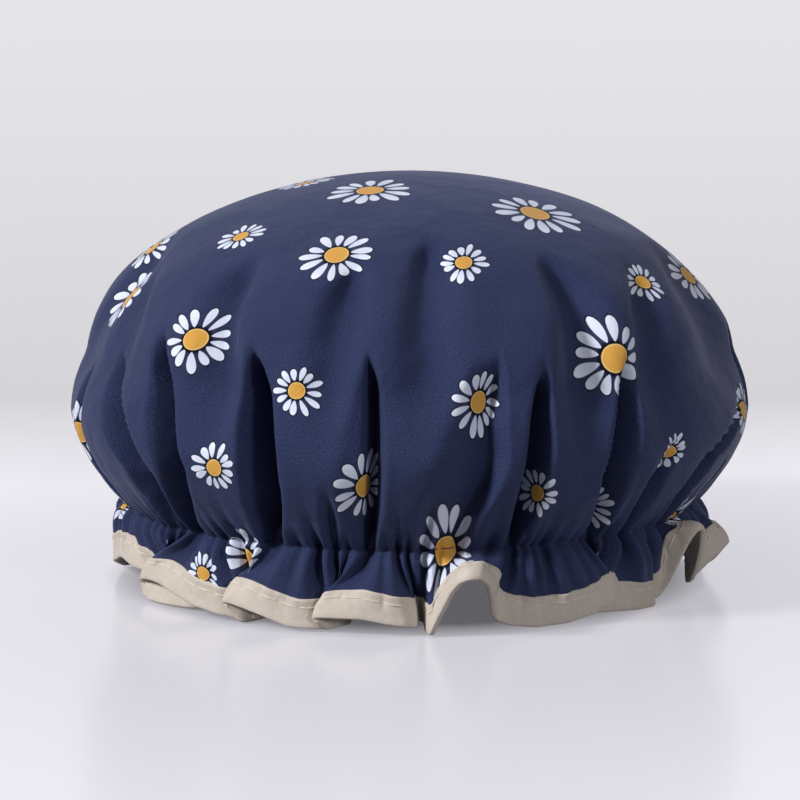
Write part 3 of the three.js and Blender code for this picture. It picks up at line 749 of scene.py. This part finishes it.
# the crown drawn in towards a point, so that it can't cross the shell, and the ruffle set in along its
# normals, or straight towards the axis where a fold turns it to the back
def makeLining(s):
    inward = grid - s["middle"]
    inward /= np.linalg.norm(inward, axis=2, keepdims=True)
    loose = ease(gridRho - neckRho, *s["loosens"])[:, None, None]
    normals = gridNormals(grid)
    outward = grid * (1, 1, 0) / np.linalg.norm(grid[:, :, :2], axis=2, keepdims=True)
    facing = ease((normals * outward).sum(2, keepdims=True), *s["facing"])
    aside = s["folded"] * outward + (s["ruffle"] * normals - s["folded"] * outward) * facing
    p = grid - s["inside"] * (1 - loose) * inward - loose * aside
    piece = gridMesh("waterproofLining", p, pole=(0, 0, cloth["top"] - s["inside"]))
    material = grainMaterial("liningFilm", {"Roughness": 0.35}, s["tones"], s["clouds"], s["crinkle"],
                             s["bump"])
    dress(piece, material, "waterproof_lining")
    2 * hemRho * mm
    2 * hemRho * mm
    math.pi * (hemRho * mm) ** 2


makeLining(lining)


# the tape's middle layer with its normals, and the seam on it with its own
def tapeSurface(s):
    upper = 1 - s["width"] / cloth["ruffle"]
    p = ruffleGrid(fineCrown[-1], fineHem, np.linspace(upper, 1, s["layers"]))
    n = gridNormals(p)
    at = s["row"] * (s["layers"] - 1)
    k = int(at)
    return p, n, p[k] + (p[k + 1] - p[k]) * (at - k), n[k]


tape, tapeNormals, seam, seamNormals = tapeSurface(binding)
seamAlong = lengthAlong(seam)
stitchCount = int(round(seamAlong[-1] / binding["pitch"]))
stitchPitch = seamAlong[-1] / stitchCount


# across the tape: out of the cloth at the upper edge, down the outside, round the hem and up the inside
def makeBinding(s):
    p, n = tape, tapeNormals
    down = p[-1] - p[-2]
    down = down / np.linalg.norm(down, axis=1, keepdims=True)
    near = np.abs((seamAlong[:-1] / stitchPitch + 0.5) % 1 - 0.5) * stitchPitch
    dimple = s["hole"] * np.exp(-(near / s["holeWide"]) ** 2)
    rows = [p[0] + out * n[0] + low * down for out, low in s["upperEdge"]]
    for k in range(len(p)):
        away = (k / (len(p) - 1) - s["row"]) * s["width"]
        puff = s["outside"] - dimple * np.exp(-(away / s["holeWide"]) ** 2)
        rows.append(p[k] + puff[:, None] * n[k] + (s["upperDrop"] * down if k == 0 else 0))
    rows += [p[-1] + out * n[-1] + low * down for out, low in s["hemRound"]]
    rows += [p[k] - s["inside"] * n[k] for k in range(len(p) - 1, -1, -2)]
    rows.append(p[0] - s["innerEdge"] * n[0])
    piece = gridMesh("edgeBinding", np.array(rows))
    material = grainMaterial("bindingTape", {"Roughness": 0.8, "Sheen Weight": 0.15}, s["tones"], s["mottle"],
                             s["weave"], s["bump"])
    dress(piece, material, "edge_binding")
    length = np.linalg.norm(np.roll(p[-1], -1, 0) - p[-1], axis=1).sum()
    s["flatWidth"] * mm


makeBinding(binding)
stage("binding, %d stitches of %.1f mm" % (stitchCount, stitchPitch))

# sewing threads: a stitch thins to tip, a share of its radius, over ends, a share of its length
thread = dict(radius=0.18, sides=6, stations=6, ends=0.15, tip=0.45, ply=(2600.0, 1.0), bump=(0.3, 0.0002),
              cream=(colour(212, 202, 186), colour(230, 222, 208)),
              navy=(colour(16, 19, 40), colour(28, 31, 57)))
alongStitch = np.linspace(0, 1, thread["stations"])
arch = np.sin(np.pi * alongStitch) ** 0.5  # how a stitch rises between its holes
threadMaterials = {}
for tone in ("cream", "navy"):
    threadMaterials[tone] = grainMaterial(tone + "Thread", {"Roughness": 0.6}, thread[tone], thread["ply"],
                                          thread["ply"], thread["bump"])


# stitches as short capped tubes: rings round each centre line, standing on its normal
def stitchMesh(name, centres, normals, s):
    count, stations, _ = centres.shape
    along = np.gradient(centres, axis=1)
    along /= np.linalg.norm(along, axis=2, keepdims=True)
    side = np.cross(along, normals)
    side /= np.linalg.norm(side, axis=2, keepdims=True)
    up = np.cross(side, along)
    turn = 2 * np.pi * np.arange(s["sides"]) / s["sides"]
    thick = s["radius"] * np.interp(alongStitch, [0, s["ends"], 1 - s["ends"], 1], [s["tip"], 1, 1, s["tip"]])
    ring = np.cos(turn)[:, None] * side[:, :, None] + np.sin(turn)[:, None] * up[:, :, None]
    verts = centres[:, :, None] + thick[None, :, None, None] * ring
    index = np.arange(count * stations * s["sides"]).reshape(count, stations, s["sides"])
    right = np.roll(index, -1, 2)
    faces = np.stack([index[:, :-1], index[:, 1:], right[:, 1:], right[:, :-1]], 3).reshape(-1, 4).tolist()
    faces += index[:, 0].tolist() + index[:, -1, ::-1].tolist()
    return meshObject(name, verts.reshape(-1, 3), faces)


# where the stations of each stitch lie, counted in stitches; gap is left free at both ends
def stitchStations(count, gap):
    return np.arange(count)[:, None] + gap + (1 - 2 * gap) * alongStitch


# a row of stitches along a closed line: each starts low over the line and rises between its holes
def stitchRow(name, line, normals, count, gap, low, rise):
    along = lengthAlong(line)
    wanted = stitchStations(count, gap) * along[-1] / count
    up = atLength(normals, along, wanted)
    return stitchMesh(name, atLength(line, along, wanted) + (low + rise * arch)[:, None] * up, up, thread)


# the two rows on the tape, outside and inside: the ends of a stitch sink below the tape's face
tapeRow = dict(gap=0.06, sink=0.2625, rise=0.45)


def tapeStitches(name, node, side, face):
    low = side * (face - tapeRow["sink"])
    piece = stitchRow(name, seam, seamNormals, stitchCount, tapeRow["gap"], low, side * tapeRow["rise"])
    dress(piece, threadMaterials["cream"], node)


tapeStitches("bindingNeedleThread", "binding_needle_thread", 1, binding["outside"])
tapeStitches("bindingBobbinThread", "binding_bobbin_thread", -1, binding["inside"])

# the gathering row round the neck, outside; its normals come from the rings above it and at below, a share
# of the ruffle
gatherRow = dict(count=150, gap=0.1, low=0.15, rise=0.4, below=0.08)


def gatherStitches(s):
    p = np.r_[fineCrown[-2:], ruffleGrid(fineCrown[-1], fineHem, [s["below"]])]
    normals = gridNormals(p)[1]
    piece = stitchRow("gatherNeedleThread", p[1], normals, s["count"], s["gap"], s["low"], s["rise"])
    dress(piece, threadMaterials["navy"], "gather_needle_thread")


gatherStitches(gatherRow)

# elastic at the neck, inside: a ribbed band whose ends lap at the back; lapStep is in thicknesses, and
# clear and trim keep it inside its box
elastic = dict(columns=1200, lap=16.0, thick=1.0, lapStep=1.3, clear=0.05, trim=0.1, across=17, ribs=5,
               ribDeep=0.12, tones=(colour(228, 228, 223), colour(241, 241, 238)), braid=(1400.0, 1.0),
               bump=(0.3, 0.0005))
lapTurn = elastic["lap"] / elasticOuter
lapStep = elastic["lapStep"] * elastic["thick"]


# the band's middle line runs round once and a lap further, its end stepping inwards over the start; its
# outline has a cosine of ribs on both faces
def makeElastic(s):
    turn = np.linspace(0, 2 * np.pi + lapTurn, s["columns"]) + np.pi
    step = lapStep * ease(turn - np.pi, 2 * np.pi - lapTurn / 2, 2 * np.pi)
    middle = elasticOuter - s["thick"] / 2 - s["clear"] - step
    across = np.linspace(-1, 1, s["across"])
    face = s["thick"] / 2 - s["ribDeep"] + s["ribDeep"] * np.cos(np.pi * s["ribs"] * across)
    height = across * ((elasticHigh[2] - elasticLow[2]) / 2 - s["trim"])
    outline = np.r_[np.c_[face, height], np.c_[-face, -height]]
    p = around(turn, middle + outline[:, :1], elasticMiddle + outline[:, 1:])
    count, columns, _ = p.shape
    index = np.arange(count * columns).reshape(count, columns)
    below = np.roll(index, -1, 0)
    faces = np.stack([index[:, :-1], index[:, 1:], below[:, 1:], below[:, :-1]], 2).reshape(-1, 4).tolist()
    faces += [index[::-1, 0].tolist(), index[:, -1].tolist()]
    piece = meshObject("elasticBand", p.reshape(-1, 3), faces)
    material = grainMaterial("elasticBraid", {"Roughness": 0.7}, s["tones"], s["braid"], s["braid"],
                             s["bump"])
    dress(piece, material, "elastic_band")


makeElastic(elastic)

# inside on the elastic: the bobbin thread's stitches, which climb over the lap and come down again at
# lapEnd, counted in laps, and a zigzag that holds the lap, with tackParts stitches to a lap
inner = dict(clear=0.15, rise=0.3, count=96, gap=0.12, lapEnd=(1.52, 1.6), tacks=8, tackParts=10, tackUp=1.5,
             tackHalf=0.8)


def insideStitches(s):
    r = elasticOuter - elastic["thick"] - s["clear"] - s["rise"] * arch
    turn = 2 * np.pi * stitchStations(s["count"], s["gap"]) / s["count"]
    past = (turn - np.pi + lapTurn / 2) % (2 * np.pi)
    downFrom, downTo = (laps * lapTurn for laps in s["lapEnd"])
    climbed = ease(past, 0, lapTurn / 2) * (1 - ease(past, downFrom, downTo))
    centres = around(turn, r - lapStep * climbed, elasticMiddle)
    piece = stitchMesh("gatherBobbinThread", centres, -around(turn, 1, 0), thread)
    dress(piece, threadMaterials["navy"], "gather_bobbin_thread")
    number = np.arange(s["tacks"])[:, None]
    turn = np.pi + lapTurn * (1 + number + alongStitch) / s["tackParts"]
    zigzag = np.where(number % 2 == 0, 2 * alongStitch - 1, 1 - 2 * alongStitch)
    centres = around(turn, r - lapStep, elasticMiddle + s["tackUp"] + s["tackHalf"] * zigzag)
    piece = stitchMesh("elasticLapTack", centres, -around(turn, 1, 0), thread)
    dress(piece, threadMaterials["navy"], "elastic_lap_tack")


insideStitches(inner)
stage("threads and elastic")

# wide pale floor that turns darker behind the cap, plain world, a key light from the left and a fill; a
# painted shade on the floor's glow round the cap is a distance from the middle with its full share, one with
# none, and the share
studio = dict(
    floor=colour(132, 131, 136), wall=colour(223, 222, 226), reach=9, behind=(0.17, 0.4),
    darker=(0.58, 0.58, 0.555), glow=2.8, paintedShades=[(0.09, 0.112, 0.75), (0.112, 0.42, 0.28)],
    ambient=0.14, soft=11.0,
    lamps=[("key", 3.7, (0.92, 0.49, -0.63)), ("fill", 0.95, (-0.6, 0.75, -0.3))],
)


# one for rays from the camera and for what shines or shows through, so that this glow lights nothing
def seenRays(place):
    path = place.node("ShaderNodeLightPath").plug.node
    kinds = ("Camera", "Glossy", "Transmission")
    seen, shiny, clear = (Socket(place.tree, path.outputs["Is %s Ray" % kind]) for kind in kinds)
    return place.maths("MAXIMUM", place.maths("MAXIMUM", seen, shiny), clear)


# the floor's glow is its own colour, with painted shade under and round the cap
def makeFloor(s):
    r = s["reach"]
    mesh = bpy.data.meshes.new("floor")
    mesh.from_pydata([(-r, -r, 0), (r, -r, 0), (r, r, 0), (-r, r, 0)], [], [(0, 1, 2, 3)])
    floor = bpy.data.objects.new("floor", mesh)
    bpy.context.scene.collection.objects.link(floor)
    material, shader, place = newMaterial("paleFloor", {"Roughness": 0.2, "Specular IOR Level": 0.1,
                                                        "Emission Strength": s["glow"]})
    x, y, _ = place.parts()
    near, far = s["behind"]
    dark = tuple(c * k for c, k in zip(s["floor"], s["darker"])) + (1,)
    tone = place.blend(((y - near) / (far - near)).clamped(), s["floor"], dark)
    black = (0, 0, 0, 1)
    away = (x * x + y * y) ** 0.5
    glow = tone
    # painted shade: the glow darkens towards black under the cap and round it, standing in for its shadow
    for inside, outside, share in s["paintedShades"]:
        glow = glow.mixed(((outside - away) / (outside - inside)).clamped() * share, black)
    place.feed(shader.inputs["Base Color"], tone)
    place.feed(shader.inputs["Emission Color"], glow.mixed(1 - seenRays(place), black))
    mesh.materials.append(material)


def makeLight(s):
    world = bpy.data.worlds.new("studio")
    bpy.context.scene.world = world
    world.use_nodes = True
    background = world.node_tree.nodes["Background"]
    background.inputs["Color"].default_value = s["wall"]
    place = Socket(world.node_tree, background.outputs[0])
    place.feed(background.inputs["Strength"], s["ambient"] + seenRays(place) * (1 - s["ambient"]))
    for name, energy, towards in s["lamps"]:
        sun = bpy.data.lights.new(name, "SUN")
        sun.energy = energy
        sun.angle = math.radians(s["soft"])
        lamp = bpy.data.objects.new(name, sun)
        lamp.visible_glossy = False  # no glare on the floor, seen from behind
        lamp.rotation_euler = Vector(towards).to_track_quat("-Z", "Y").to_euler()
        bpy.context.scene.collection.objects.link(lamp)


makeFloor(studio)
makeLight(studio)
bpy.context.scene.view_settings.view_transform = "Standard"
stage("studio")
